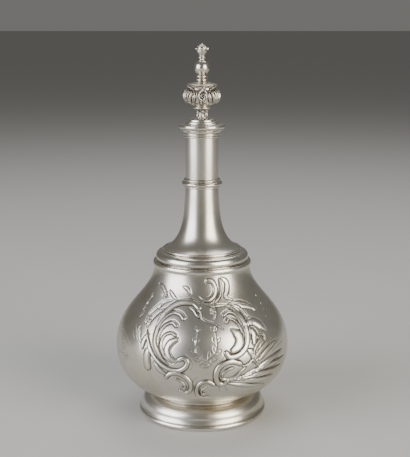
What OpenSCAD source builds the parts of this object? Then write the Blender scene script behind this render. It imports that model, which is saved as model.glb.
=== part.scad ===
// Rosewater sprinkler: a pear-shaped silver bottle on a spreading foot. The long neck unscrews at the shoulder
// for filling, a pierced rose inside it sprinkles, and a cork stopper with a tall finial closes it.
// Millimetres, +Z up, origin at the centre of the footprint, front of the bottle towards -Y.

/* [Foot] */
// Outer radius of the round wire that the bottle stands on
foot_r = 42.2; // [38:0.1:47]
// Thickness of that base wire
base_wire_d = 4.2; // [3:0.1:5]
// Height of the foot, from the table to the underside of the belly
foot_h = 17; // [15:0.5:24]
// Outer radius of the foot's waist, under the belly
foot_waist_r = 32.3; // [28:0.1:33.5]
// Thickness of the foot's sheet
foot_wall = 1; // [0.6:0.1:1.4]
// Thickness of the wire that covers the joint between foot and belly
joint_wire_d = 2.6; // [2:0.1:3]

/* [Belly] */
// Radius of the belly at its widest
belly_r = 56.4; // [52:0.1:64]
// Height from the foot to the belly's widest place
belly_rise = 29.5; // [26:0.5:36]
// Height from the widest place to the narrow top of the belly
shoulder_rise = 52.5; // [46:0.5:62]
// Outer radius of the narrow top of the belly
shoulder_r = 30.7; // [29.5:0.1:35]
// How far the belly's underside runs out flat from the foot before it rises
under_run = 9; // [6:0.5:12]
// Thickness of the belly's sheet
belly_wall = 0.9; // [0.6:0.1:1.4]
// Height of the straight lip at the belly's top
belly_lip_h = 1.4; // [1:0.1:3]
// How far the shoulder wire stands out from the belly
shoulder_wire_out = 1.1; // [0.6:0.1:1.8]

/* [Screw joint] */
// Radius of the way in through the screw joint
way_r = 24.6; // [20:0.1:24.8]
// Thickness of the threaded upstand
upstand_wall = 0.9; // [0.7:0.1:1.2]
// Thickness of the seat that the washer lies on
seat_t = 2; // [1.4:0.1:3]
// Height of the thread's ridge
thread_h = 0.9; // [0.6:0.1:1]
// Rise of the thread in one turn
thread_pitch = 2.2; // [1.8:0.1:2.6]
// Turns of thread on each of the two parts
thread_turns = 1.25; // [1:0.25:1.5]
// Thickness of the sealing washer
seal_t = 0.8; // [0.5:0.1:1.5]
// Outer radius of the collar under the neck
collar_r = 30.1; // [29.9:0.1:32]
// Height of that collar
collar_h = 5.6; // [5.4:0.1:8]

/* [Neck] */
// Outer radius of the neck's tube
neck_r = 10.5; // [9:0.1:12]
// Thickness of the neck's sheet
neck_wall = 0.9; // [0.6:0.1:1.2]
// Height of the flared lower neck
flare_h = 42.6; // [38:0.5:52]
// Height of the straight upper neck
tube_h = 34.8; // [30:0.5:42]
// Outer radius of the neck at its flared base
flare_r = 24.4; // [23.6:0.1:25]
// Thickness of the wire round the flared base
base_ring_d = 1.8; // [1.2:0.1:2.2]
// How far the neck ring stands out from the tube
ring_out = 2.6; // [1.6:0.1:3.6]
// Height of the neck ring
ring_h = 6; // [5:0.1:8]
// Thickness of the pierced rose
rose_t = 0.7; // [0.5:0.1:1]
// Rise of the rose's dome
rose_rise = 2; // [1:0.1:3]
// Number of holes in the rose's inner ring; its outer ring has twice as many
rose_holes = 6; // [4:1:7]
// Radius of each hole in the rose
rose_hole_r = 0.6; // [0.4:0.05:0.75]
// Height of the moulded lip at the mouth
lip_h = 5.4; // [4:0.1:7]
// How far the lip stands out from the tube
lip_out = 3.1; // [2.4:0.1:3.6]

/* [Stopper] */
// Outer radius of the stopper's cap
cap_r = 14.6; // [14.4:0.1:17]
// Height of the stopper's stepped cap
cap_h = 6.7; // [6:0.1:8]
// Thickness of the cap's sheet
cap_wall = 0.9; // [0.6:0.1:1.2]
// Thickness of the plate that closes the cap from below
plate_t = 0.8; // [0.6:0.1:1.2]
// Length of the cork
cork_h = 21.9; // [16:0.5:24]
// How much smaller the cork is at its lower end
cork_taper = 0.35; // [0:0.05:0.8]
// Radius of the rod that holds cork, cap and finial together
rod_r = 1.25; // [1:0.05:1.4]
// Radius of the washer under the cork
washer_r = 6.5; // [4.5:0.1:7.5]
// Thickness of the washer under the cork
washer_t = 1; // [0.6:0.1:1.5]
// Width of the nut across its corners
nut_d = 6.4; // [5.6:0.1:8]
// Height of the nut
nut_h = 2.4; // [1.6:0.1:3]

/* [Finial] */
// Height of the leafy stem
stem_h = 7.3; // [6:0.1:9]
// Radius of the stem's narrow part
stem_r = 3.1; // [2.6:0.1:3.6]
// Height of the vase
vase_h = 12.8; // [11:0.1:15]
// Radius of the vase at its widest
vase_r = 11.4; // [10:0.1:13]
// Thickness of the vase's sheet
vase_wall = 0.9; // [0.7:0.1:1.1]
// Number of scrolled sides round the vase
vase_sides = 3; // [2:1:4]
// Radius of the scrolls' rod
scroll_r = 0.55; // [0.4:0.05:0.8]
// Height of the domed cover on the vase
cover_h = 2.4; // [1.8:0.1:3.5]
// Height of the ringed collar on the cover
knop_collar_h = 4.4; // [3.6:0.1:6]
// Radius of the ball
ball_r = 4.8; // [4.2:0.1:5.6]
// Height of the little spool on the ball
spool_h = 4.2; // [3.4:0.1:5.5]
// Height of the leafy bud at the top
bud_h = 6.6; // [6:0.1:8.5]
// Number of leaves round the bud
bud_leaves = 6; // [4:1:7]

/* [Hidden] */
$fn = 96;

// Gaps: between soldered pieces, along a running fit, and round the cork
solder = 0.05;
play = 0.3;
cork_gap = 0.2;
// Dark gap between the collar's edge and its seat
lip_gap = 0.15;
// Depth of the flat that the base wire stands on
stand_flat = 0.15;
// Steps along one curve of a profile, and steps in one turn of thread
curve_steps = 14;
thread_steps = 36;

silver = "#c9c6bd";
shaded_silver = "#a39e90";
cork_brown = "#b98a5a";
leather_brown = "#6b4a2f";

// Heights, from the table up
belly_z = foot_h;
wide_z = belly_z + belly_rise;
belly_top = wide_z + shoulder_rise;
mount_z = belly_top + belly_lip_h + solder;
seat_z = mount_z + seat_t;
seal_z = seat_z + solder;
collar_z = seal_z + seal_t + solder;
web_t = 0.8;
collar_top = collar_z + collar_h;
thread_z = (collar_z + collar_top - web_t - thread_turns * thread_pitch) / 2;
neck_z = collar_top + solder;
neck_straight = 1.1;
rose_z = neck_z + flare_h + solder;
tube_z = rose_z + rose_t + solder;
tube_top = tube_z + tube_h;
cap_z = tube_top + 0.2;
cap_top = cap_z + cap_h;
stem_z = cap_top + solder;
vase_z = stem_z + stem_h + solder;
cover_z = vase_z + vase_h + solder;
knop_z = cover_z + cover_h + solder;
ball_z = knop_z + knop_collar_h + solder;
ball_h = 2 * ball_r * 0.82;
spool_z = ball_z + ball_h + solder;
bud_z = spool_z + spool_h + solder;
cork_top = cap_z - solder;
cork_z = cork_top - cork_h;
washer_z = cork_z - solder - washer_t;
nut_z = washer_z - solder - nut_h;

// Radii that follow from the sizes above
wire_r = base_wire_d / 2;
wire_centre_r = foot_r - wire_r;
wire_centre_z = wire_r - stand_flat;
upstand_r = way_r + upstand_wall;
thread_crest_r = upstand_r + thread_h;
collar_bore_r = thread_crest_r + play;
seal_in_r = collar_bore_r + 0.2;
seal_out_r = collar_r - 1.9;
tube_in_r = neck_r - neck_wall;
cork_r = tube_in_r - cork_gap;
rod_hole_r = rod_r + solder;
stem_top_r = 1.8 * stem_r;

// A cubic curve through p and q, steered by a and b
function curve(p, a, b, q, n = curve_steps) = [
    for (i = [0:n]) let (t = i / n, s = 1 - t)
        s * s * s * p + 3 * s * s * t * a + 3 * s * t * t * b + t * t * t * q
];
function reversed(list) = [for (i = [len(list) - 1:-1:0]) list[i]];
function without_first(list) = [for (i = [1:len(list) - 1]) list[i]];
function unit(v) = v / norm(v);
// The direction of a path at point i
function heading(path, i) = unit(path[min(i + 1, len(path) - 1)] - path[max(i - 1, 0)]);
// A path moved sideways by d, towards its left
function beside(path, d) = [
    for (i = [0:len(path) - 1]) let (h = heading(path, i)) path[i] + d * [-h[1], h[0]]
];
// The outline of a sheet of thickness d whose outer face is path
function sheet(path, d) = concat(path, reversed(beside(path, d)));

// Outer face of the belly, from the middle of its bottom to its lip
belly_low = curve(
    [foot_waist_r + solder + foot_wall / 2, belly_z], [foot_waist_r + under_run, belly_z],
    [belly_r, wide_z - 0.68 * belly_rise], [belly_r, wide_z]
);
belly_high = curve(
    [belly_r, wide_z], [belly_r, wide_z + 0.495 * shoulder_rise],
    [shoulder_r + 2.1, belly_top - 0.363 * shoulder_rise], [shoulder_r, belly_top], 2 * curve_steps
);
belly_path = concat(
    [[0, belly_z]], belly_low, without_first(belly_high), [[shoulder_r, belly_top + belly_lip_h]]
);

// Outer face of the foot's curved sheet
flare_top = [wire_centre_r - 0.1, base_wire_d + 0.28 * (foot_h - base_wire_d)];
ovolo_top = [foot_waist_r + 1.1, foot_h - joint_wire_d - 0.8];
foot_path = concat(
    curve(
        [foot_r - 0.6, base_wire_d - 0.2], [foot_r - 1.4, base_wire_d + 0.4],
        flare_top - [-0.1, 1.4], flare_top, 6
    ),
    without_first(curve(
        flare_top, flare_top + [-0.4, 2.6],
        ovolo_top + [3.6, -0.5], ovolo_top, curve_steps
    ))
);

// Outer face of the flared lower neck
neck_path = concat(
    [[flare_r, neck_z]],
    curve(
        [flare_r, neck_z + neck_straight],
        [neck_r + 0.04 * (flare_r - neck_r), neck_z + neck_straight + 0.156 * flare_h],
        [neck_r + 0.094 * (flare_r - neck_r), rose_z - 1.6 - 0.38 * flare_h],
        [neck_r, rose_z - 1.6], 2 * curve_steps
    ),
    [[neck_r, rose_z - solder]]
);

// A ring turned from a flat outline
module turned(points) {
    rotate_extrude() polygon(points);
}

// A round wire bent into a ring; keep_out cuts off what lies inside that radius
module wire_ring(centre_r, centre_z, wire_radius, keep_out) {
    rotate_extrude() difference() {
        translate([centre_r, centre_z]) circle(r = wire_radius);
        translate([0, centre_z - 2 * wire_radius]) square([keep_out, 4 * wire_radius]);
    }
}

module tube(r_out, r_in, h) {
    difference() {
        cylinder(r = r_out, h = h);
        translate([0, 0, -1]) cylinder(r = r_in, h = h + 2);
    }
}

// One ridge of thread: a tapered section swept up a helix, from radius r_from in the wall to its crest at r_to
module thread_ridge(r_from, r_to, z) {
    foot_w = 0.5 * thread_pitch;
    crest_w = 0.32 * thread_pitch;
    sections = ceil(thread_turns * thread_steps);
    points = [
        for (i = [0:sections]) let (a = i * 360 * thread_turns / sections, up = z + thread_pitch * a / 360)
            for (corner = [[r_from, -foot_w / 2], [r_to, -crest_w / 2], [r_to, crest_w / 2], [r_from, foot_w / 2]])
                [corner[0] * cos(a), corner[0] * sin(a), up + corner[1]]
    ];
    sides = [
        for (i = [0:sections - 1], k = [0:3]) let (a = 4 * i + k, b = 4 * i + (k + 1) % 4)
            for (triangle = [[a, b, b + 4], [a, b + 4, a + 4]]) triangle
    ];
    last = 4 * sections;
    ends = [[0, 2, 1], [0, 3, 2], [last, last + 1, last + 2], [last, last + 2, last + 3]];
    all_faces = concat(sides, ends);
    polyhedron(points = points, faces = r_to > r_from ? all_faces : [for (f = all_faces) reversed(f)]);
}

module foot() color(silver) {
    inner = concat(
        beside(foot_path, foot_wall),
        [[foot_waist_r - foot_wall, ovolo_top[1] - foot_wall], [foot_waist_r - foot_wall, foot_h - solder]]
    );
    outer = concat(foot_path, [[foot_waist_r, ovolo_top[1] + 0.3], [foot_waist_r, foot_h - solder]]);
    rotate_extrude() difference() {
        polygon(concat(outer, reversed(inner)));
        translate([wire_centre_r, wire_centre_z]) circle(r = wire_r + solder);
    }
}

module base_wire() color(silver) {
    rotate_extrude() difference() {
        translate([wire_centre_r, wire_centre_z]) circle(r = wire_r);
        translate([wire_centre_r - foot_r, -foot_r]) square([2 * foot_r, foot_r]);
    }
}

module joint_wire() color(silver) {
    radius = joint_wire_d / 2;
    wire_ring(foot_waist_r + solder - 0.2, foot_h - radius - 0.3, radius, foot_waist_r + solder);
}

module belly() color(silver) {
    turned(sheet(belly_path, belly_wall));
}

module shoulder_wire() color(silver) {
    height = belly_lip_h + seat_t + 0.4;
    radius = (height * height / 4 + shoulder_wire_out * shoulder_wire_out) / (2 * shoulder_wire_out);
    wire_ring(
        shoulder_r + solder + shoulder_wire_out - radius, belly_top + height / 2 - 0.1,
        radius, shoulder_r + solder
    );
}

module thread_ring() color(silver) {
    skirt_r = shoulder_r - belly_wall - solder;
    skirt_wall = 1;
    turned([
        [skirt_r - skirt_wall, belly_top - 2.5], [skirt_r, belly_top - 2.5], [skirt_r, mount_z],
        [shoulder_r, mount_z], [shoulder_r, seat_z], [upstand_r, seat_z],
        [upstand_r, collar_top - web_t - play], [way_r, collar_top - web_t - play],
        [way_r, mount_z], [skirt_r - skirt_wall, mount_z]
    ]);
    thread_ridge(upstand_r - 0.3, thread_crest_r, thread_z);
}

module seal() color(leather_brown) {
    translate([0, 0, seal_z]) tube(seal_out_r, seal_in_r, seal_t);
}

module neck_collar() color(silver) {
    shoulder = collar_top - 0.2;
    edge_z = seat_z + lip_gap;
    recess_r = seal_out_r + lip_gap;
    ovolo = curve(
        [collar_r - 0.6, edge_z + 0.7], [collar_r + 0.4, collar_z + 0.25 * collar_h],
        [collar_r - 0.2, shoulder - 0.2], [flare_r + base_ring_d - 0.3, shoulder]
    );
    turned(concat(
        [[collar_r - 0.7, edge_z]], ovolo,
        [
            [flare_r + 0.6 * base_ring_d, collar_top], [flare_r - 1, collar_top],
            [flare_r - 1, collar_top - web_t], [collar_bore_r, collar_top - web_t],
            [collar_bore_r, collar_z], [recess_r, collar_z], [recess_r, edge_z]
        ]
    ));
    rotate(180) thread_ridge(collar_bore_r + 0.3, upstand_r + play, thread_z);
}

module neck_base_wire() color(silver) {
    radius = base_ring_d / 2;
    wire_ring(flare_r + solder, neck_z + radius, radius, flare_r + solder);
}

module lower_neck() color(silver) {
    turned(sheet(neck_path, neck_wall));
}

module neck_ring() color(silver) {
    inner = neck_r + solder;
    low = tube_z - 0.42 * ring_h;
    step = ring_h / 6;
    bead = 0.5 * ring_out;
    turned(concat(
        [[inner, low], [neck_r + 0.4 * ring_out, low], [neck_r + 0.4 * ring_out, low + 0.8 * step]],
        curve(
            [neck_r + 0.5 * ring_out, low + 1.1 * step], [neck_r + 1.15 * ring_out, low + 1.3 * step],
            [neck_r + 1.15 * ring_out, low + 3.7 * step], [neck_r + 0.5 * ring_out, low + 3.9 * step], 10
        ),
        [[neck_r + 0.3 * ring_out, low + 4.1 * step]],
        curve(
            [neck_r + 0.3 * ring_out, low + 4.3 * step], [neck_r + bead + 0.3, low + 4.4 * step],
            [neck_r + bead + 0.3, low + 5.4 * step], [neck_r + 0.3 * ring_out, low + 5.6 * step], 8
        ),
        [[neck_r + 0.2 * ring_out, low + ring_h], [inner, low + ring_h]]
    ));
}

module sprinkler_rose() color(silver) {
    dome_r = tube_in_r - 0.3;
    dome = curve([dome_r, 0], [dome_r - 1.5, 0.7 * rose_rise], [3, rose_rise], [0, rose_rise], 10);
    rings = [[0, 1], [0.33 * dome_r, rose_holes], [0.66 * dome_r, 2 * rose_holes]];
    translate([0, 0, rose_z]) difference() {
        turned(concat(
            [[neck_r - 0.1, 0], [neck_r - 0.1, rose_t]],
            [for (p = dome) p + [0, rose_t]],
            reversed(dome)
        ));
        for (ring = rings, i = [0:ring[1] - 1])
            rotate(i * 360 / ring[1]) translate([ring[0], 0, -1]) cylinder(r = rose_hole_r, h = rose_rise + 3);
    }
}

module upper_neck() color(silver) {
    translate([0, 0, tube_z]) tube(neck_r, tube_in_r, tube_h);
}

module mouth_lip() color(silver) {
    inner = neck_r + solder;
    low = tube_top - lip_h;
    step = lip_h / 6;
    turned(concat(
        [[inner, low]],
        curve(
            [neck_r + 0.25 * lip_out, low], [neck_r + 0.45 * lip_out, low + 0.2 * step],
            [neck_r + 0.45 * lip_out, low + step], [neck_r + 0.25 * lip_out, low + 1.3 * step], 6
        ),
        curve(
            [neck_r + 0.25 * lip_out, low + 1.7 * step], [neck_r + 0.6 * lip_out, low + 1.8 * step],
            [neck_r + 0.6 * lip_out, low + 3 * step], [neck_r + 0.42 * lip_out, low + 3.4 * step], 6
        ),
        curve(
            [neck_r + 0.42 * lip_out, low + 3.7 * step], [neck_r + 0.5 * lip_out, low + 4.6 * step],
            [neck_r + 0.8 * lip_out, low + 5.2 * step], [neck_r + lip_out, low + 5.5 * step], 8
        ),
        [[neck_r + lip_out, tube_top], [inner, tube_top]]
    ));
}

module stopper_cork() color(cork_brown) {
    translate([0, 0, cork_z]) difference() {
        cylinder(r1 = cork_r - cork_taper, r2 = cork_r, h = cork_h);
        translate([0, 0, -1]) cylinder(r = rod_hole_r, h = cork_h + 2);
    }
}

module cork_washer() color(shaded_silver) {
    translate([0, 0, washer_z]) tube(washer_r, rod_hole_r, washer_t);
}

module cork_nut() color(shaded_silver) {
    translate([0, 0, nut_z]) difference() {
        cylinder(d = nut_d, h = nut_h, $fn = 6);
        translate([0, 0, -1]) cylinder(r = rod_hole_r, h = nut_h + 2);
    }
}

module stopper_rod() color(shaded_silver) {
    below = 0.8;
    translate([0, 0, nut_z - below]) cylinder(r = rod_r, h = bud_z + 0.4 * bud_h - nut_z + below);
}

module cap_plate() color(shaded_silver) {
    translate([0, 0, cap_z]) tube(cap_r - cap_wall - 0.8, rod_hole_r, plate_t);
}

// Outer face of the stepped cap, from its underside to the seat of the stem
cap_path = concat(
    curve(
        [cap_r - 1, cap_z], [cap_r + 0.33, cap_z],
        [cap_r + 0.33, cap_z + 0.37 * cap_h], [cap_r - 1, cap_z + 0.37 * cap_h], 8
    ),
    curve(
        [cap_r - 1.2, cap_z + 0.36 * cap_h], [cap_r - 2.6, cap_z + 0.37 * cap_h],
        [0.75 * cap_r, cap_z + 0.42 * cap_h], [0.72 * cap_r, cap_z + 0.47 * cap_h], 6
    ),
    [
        [0.705 * cap_r, cap_z + 0.5 * cap_h], [0.705 * cap_r, cap_z + 0.61 * cap_h],
        [0.68 * cap_r, cap_z + 0.66 * cap_h], [0.63 * cap_r, cap_z + 0.68 * cap_h],
        [0.61 * cap_r, cap_z + 0.73 * cap_h], [0.61 * cap_r, cap_z + 0.86 * cap_h],
        [0.58 * cap_r, cap_z + 0.91 * cap_h]
    ],
    curve(
        [0.54 * cap_r, cap_z + 0.93 * cap_h], [0.45 * cap_r, cap_z + 0.95 * cap_h],
        [0.34 * cap_r, cap_z + 0.96 * cap_h], [1.3 * stem_r, cap_top], 5
    )
);

module stopper_cap() color(silver) {
    inner_z = cap_z + plate_t + solder;
    inner = [
        [cap_r - cap_wall - 0.75, cap_z], [cap_r - cap_wall - 0.75, inner_z],
        [0.62 * cap_r, cap_z + 0.52 * cap_h - cap_wall], [0.52 * cap_r, cap_z + 0.84 * cap_h - cap_wall],
        [rod_hole_r, cap_top - cap_wall - 0.4]
    ];
    turned(concat(cap_path, [[rod_hole_r, cap_top]], reversed(inner)));
}

module finial_stem() color(shaded_silver) {
    turned(concat(
        [[rod_hole_r, stem_z], [1.2 * stem_r, stem_z]],
        curve(
            [1.2 * stem_r, stem_z + 0.08 * stem_h], [0.9 * stem_r, stem_z + 0.25 * stem_h],
            [0.9 * stem_r, stem_z + 0.5 * stem_h], [1.25 * stem_r, stem_z + 0.72 * stem_h], 8
        ),
        curve(
            [1.5 * stem_r, stem_z + 0.78 * stem_h], [stem_top_r + 0.3, stem_z + 0.8 * stem_h],
            [stem_top_r + 0.2, stem_z + 0.94 * stem_h], [1.45 * stem_r, stem_z + 0.96 * stem_h], 6
        ),
        [[1.35 * stem_r, stem_z + stem_h], [rod_hole_r, stem_z + stem_h]]
    ));
}

// Outer face of the vase, from its narrow foot to its flared rim
vase_path = concat(
    curve(
        [1.4 * stem_r, vase_z], [2.1 * stem_r, vase_z + 0.12 * vase_h],
        [vase_r, vase_z + 0.22 * vase_h], [vase_r, vase_z + 0.5 * vase_h]
    ),
    without_first(curve(
        [vase_r, vase_z + 0.5 * vase_h], [vase_r, vase_z + 0.76 * vase_h],
        [0.74 * vase_r, vase_z + 0.8 * vase_h], [0.87 * vase_r, vase_z + vase_h], 10
    ))
);

module finial_vase() color(silver) {
    difference() {
        union() {
            turned(concat([[rod_hole_r, vase_z]], sheet(vase_path, vase_wall)));
            for (i = [0:vase_sides - 1]) rotate(i * 360 / vase_sides) vase_scrolls();
        }
        translate([0, 0, vase_z - 1]) cylinder(r = rod_hole_r, h = vase_h + 2);
        translate([0, 0, vase_z + vase_h]) cylinder(r = 2 * vase_r, h = vase_h);
    }
}

// A pair of C-scrolls that lie back to back on the side of the vase
module vase_scrolls() {
    bend = 0.24 * vase_r;
    for (side = [-1, 1]) rotate(-90 + side * 78 / vase_sides)
        translate([vase_r - 0.25, 0, vase_z + 0.5 * vase_h])
            rotate([90, 0, 90]) rotate(side > 0 ? -70 : 0)
                rotate_extrude(angle = 250) translate([bend, 0]) circle(r = scroll_r);
}

module vase_cover() color(silver) {
    cover_r = 0.87 * vase_r - 0.2;
    dome = curve(
        [cover_r, cover_z + 0.1], [0.8 * cover_r, cover_z + 0.5 * cover_h],
        [1.7 * stem_r, cover_z + 0.55 * cover_h], [1.1 * stem_r, cover_z + cover_h], 8
    );
    turned(concat(
        [[cover_r, cover_z]], dome,
        [[rod_hole_r, cover_z + cover_h], [rod_hole_r, cover_z]]
    ));
}

module finial_collar() color(silver) {
    ring_r = 1.15 * stem_r;
    step = knop_collar_h / 6;
    turned(concat(
        [[rod_hole_r, knop_z], [0.95 * stem_r, knop_z]],
        curve(
            [0.95 * stem_r, knop_z + 0.2 * step], [1.2 * ring_r, knop_z + 0.5 * step],
            [1.2 * ring_r, knop_z + 2 * step], [0.9 * stem_r, knop_z + 2.3 * step], 6
        ),
        [[0.8 * stem_r, knop_z + 2.7 * step]],
        curve(
            [0.85 * stem_r, knop_z + 3.1 * step], [1.25 * ring_r, knop_z + 3.3 * step],
            [1.25 * ring_r, knop_z + 4.8 * step], [0.9 * stem_r, knop_z + 5.1 * step], 6
        ),
        [[0.7 * stem_r, knop_z + 6 * step], [rod_hole_r, knop_z + 6 * step]]
    ));
}

module finial_ball() color(silver) {
    low = 0.45 * ball_r;
    difference() {
        translate([0, 0, ball_z + ball_h / 2]) sphere(r = ball_r);
        translate([-2 * ball_r, -2 * ball_r, ball_z - 4 * ball_r]) cube([4 * ball_r, 4 * ball_r, 4 * ball_r]);
        translate([-2 * ball_r, -2 * ball_r, ball_z + ball_h]) cube([4 * ball_r, 4 * ball_r, 4 * ball_r]);
        translate([0, 0, ball_z - low]) cylinder(r = rod_hole_r, h = 3 * ball_r);
    }
}

module finial_spool() color(silver) {
    neck = rod_r + 0.35;
    turned(concat(
        [[rod_hole_r, spool_z], [neck + 0.8, spool_z]],
        curve(
            [neck + 0.8, spool_z + 0.05 * spool_h], [neck, spool_z + 0.2 * spool_h],
            [neck, spool_z + 0.3 * spool_h], [neck + 0.1, spool_z + 0.4 * spool_h], 5
        ),
        curve(
            [neck + 0.3, spool_z + 0.42 * spool_h], [neck + 0.7, spool_z + 0.45 * spool_h],
            [neck + 0.7, spool_z + 0.65 * spool_h], [neck + 0.3, spool_z + 0.68 * spool_h], 5
        ),
        [[neck, spool_z + 0.75 * spool_h], [neck + 0.4, spool_z + spool_h], [rod_hole_r, spool_z + spool_h]]
    ));
}

module finial_bud() color(silver) {
    base_r = rod_r + 0.75;
    difference() {
        union() {
            turned([
                [0, bud_z], [base_r, bud_z], [1.25 * base_r, bud_z + 0.3 * bud_h],
                [base_r, bud_z + 0.62 * bud_h], [0.5 * base_r, bud_z + 0.9 * bud_h], [0, bud_z + bud_h]
            ]);
            for (i = [0:bud_leaves - 1]) rotate(i * 360 / bud_leaves) bud_leaf(base_r);
        }
        translate([0, 0, bud_z - 1]) cylinder(r = rod_hole_r, h = 1 + 0.4 * bud_h + solder);
    }
}

// One pointed leaf that curls out from the bud
module bud_leaf(base_r) {
    hull() {
        translate([0.9 * base_r, 0, bud_z + 0.16 * bud_h]) sphere(r = 0.5, $fn = 16);
        translate([1.2 * base_r, 0, bud_z + 0.45 * bud_h]) sphere(r = 0.75, $fn = 16);
        translate([2 * base_r, 0, bud_z + 0.56 * bud_h]) sphere(r = 0.3, $fn = 16);
    }
}

foot();
base_wire();
joint_wire();
belly();
shoulder_wire();
thread_ring();
seal();
neck_collar();
neck_base_wire();
lower_neck();
neck_ring();
sprinkler_rose();
upper_neck();
mouth_lip();
stopper_cork();
cork_washer();
cork_nut();
stopper_rod();
cap_plate();
stopper_cap();
finial_stem();
finial_vase();
vase_cover();
finial_collar();
finial_ball();
finial_spool();
finial_bud();
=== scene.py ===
# %% [markdown]
# # A silver rosewater sprinkler
# This lesson dresses a measured model of a silver sprinkler bottle: a pear-shaped belly on a spreading foot, a long
# neck with rings, and a stopper with a tall finial. The measured model gives every place and size. The lesson gives
# the bottle its smooth turned surfaces, its chased scrolls and leaves, and its worn silver.
# Everything is in metres, with +Z up and the front of the bottle towards -Y.

# %% Load the measured model
import math
import bmesh
import bpy
import numpy as np
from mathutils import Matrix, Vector


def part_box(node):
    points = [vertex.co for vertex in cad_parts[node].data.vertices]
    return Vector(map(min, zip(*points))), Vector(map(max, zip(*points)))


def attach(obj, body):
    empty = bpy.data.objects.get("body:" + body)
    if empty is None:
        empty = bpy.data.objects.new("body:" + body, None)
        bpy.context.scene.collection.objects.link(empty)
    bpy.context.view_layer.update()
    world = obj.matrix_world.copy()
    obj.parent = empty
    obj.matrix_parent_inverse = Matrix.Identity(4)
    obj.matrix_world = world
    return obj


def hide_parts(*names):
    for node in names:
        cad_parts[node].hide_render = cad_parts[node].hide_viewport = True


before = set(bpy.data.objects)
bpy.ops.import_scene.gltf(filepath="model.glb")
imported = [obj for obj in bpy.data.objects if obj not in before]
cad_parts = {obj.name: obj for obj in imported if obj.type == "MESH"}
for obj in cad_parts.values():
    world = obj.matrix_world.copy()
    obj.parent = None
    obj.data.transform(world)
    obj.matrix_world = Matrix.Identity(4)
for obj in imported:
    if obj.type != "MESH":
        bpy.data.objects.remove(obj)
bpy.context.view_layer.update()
MM = 0.001

# %% [markdown]
# ## The camera
# The photographer stood a good half metre away, a little above the bottle, and looked down by 12 degrees. The
# ellipses of the foot, the shoulder and the neck rings give those numbers: the flatter an ellipse, the nearer it is
# to eye level. A long lens keeps the upright lines nearly parallel. The camera stands 2 mm to the right of the
# bottle's axis, because the bottle is a hair left of the middle of the photograph.

# %% Camera
CAMERA_AWAY = 0.6058
CAMERA_UP = 0.2513
LOOK_DOWN = math.radians(12)

camera_data = bpy.data.cameras.new("studio_camera")
camera_data.sensor_width = 36
camera_data.lens = 75.5
camera = bpy.data.objects.new("studio_camera", camera_data)
camera.location = (0.0019, -CAMERA_AWAY, CAMERA_UP)
camera.rotation_euler = (math.pi / 2 - LOOK_DOWN, 0, 0)
bpy.context.collection.objects.link(camera)
bpy.context.scene.camera = camera
print("camera at", tuple(round(v, 3) for v in camera.location))

# %% [markdown]
# ## Two small helpers
# Colours are written as a painter reads them from a colour chart, in hex. Blender mixes light in linear values, so
# one function turns hex into linear. A second one adds a node to a material, sets its values and joins its inputs.

# %% Colour and node helpers
def linear(hex_colour):
    """A hex colour as linear red, green, blue and full alpha."""
    parts = [int(hex_colour[i:i + 2], 16) / 255 for i in (1, 3, 5)]
    return tuple(c / 12.92 if c <= 0.04045 else ((c + 0.055) / 1.055) ** 2.4 for c in parts) + (1.0,)


def add_node(tree, kind, settings=None, **inputs):
    """Adds a node of this kind. Settings are its own properties; inputs are values or other nodes' outputs."""
    node = tree.nodes.new(kind)
    for key, value in (settings or {}).items():
        setattr(node, key, value)
    for key, value in inputs.items():
        socket = node.inputs[int(key[1:])] if key[0] == "i" and key[1:].isdigit() else node.inputs[key.replace("_", " ")]
        if isinstance(value, bpy.types.NodeSocket):
            tree.links.new(value, socket)
        else:
            socket.default_value = value
    return node


print("polished silver reads as", [round(c, 3) for c in linear("#d8d4ca")[:3]])

# %% [markdown]
# ## Floor and light
# The floor is a plain pale sheet that runs far out. Silver has no colour of its own worth speaking of: it shows the
# room. So the light is what makes it look like silver. Two large soft boxes stand left and right of the bottle and
# give the two long bright bands on belly and neck. Between them the room stays dim, which gives the darker band down
# the middle. A third soft light from above and behind brightens the floor and the upper rims.

# %% Floor
FLOOR_SIZE = 40.0
floor_mesh = bpy.data.meshes.new("floor")
floor_mesh.from_pydata(
    [(-FLOOR_SIZE, -FLOOR_SIZE, 0), (FLOOR_SIZE, -FLOOR_SIZE, 0), (FLOOR_SIZE, FLOOR_SIZE, 0),
     (-FLOOR_SIZE, FLOOR_SIZE, 0)],
    [], [(0, 1, 2, 3)])
floor = bpy.data.objects.new("floor", floor_mesh)
bpy.context.collection.objects.link(floor)

paper = bpy.data.materials.new("pale matt paper")
paper.use_nodes = True
paper_shader = paper.node_tree.nodes["Principled BSDF"]
paper_shader.inputs["Base Color"].default_value = linear("#bdbcb9")
paper_shader.inputs["Roughness"].default_value = 0.75
floor_mesh.materials.append(paper)

# %% Lights and the room
def soft_box(name, place, aim, width, height, watts, tint="#ffffff"):
    """A rectangular studio light at place, turned to shine at aim."""
    light = bpy.data.lights.new(name, "AREA")
    light.shape = "RECTANGLE"
    light.size = width
    light.size_y = height
    light.energy = watts
    light.color = linear(tint)[:3]
    holder = bpy.data.objects.new(name, light)
    holder.location = place
    holder.rotation_euler = (Vector(aim) - Vector(place)).to_track_quat("-Z", "Y").to_euler()
    holder.visible_camera = False
    bpy.context.collection.objects.link(holder)
    return holder


soft_box("soft_box_left", (-1.05, -0.56, 0.5), (0, 0, 0.13), 1.0, 1.0, 20.0, "#f4f6ff")
soft_box("soft_box_right", (0.92, -0.78, 0.5), (0, 0, 0.13), 0.85, 1.0, 20.0, "#fffaf0")
soft_box("top_light", (0.1, 0.6, 1.3), (0, 0, 0.1), 1.0, 0.8, 8.0)

room = bpy.data.worlds.new("dim studio")
room.use_nodes = True
room_tree = room.node_tree
room_background = room_tree.nodes["Background"]
room_background.inputs["Color"].default_value = linear("#a3a29e")
room_background.inputs["Strength"].default_value = 0.45
bpy.context.scene.world = room

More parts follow.
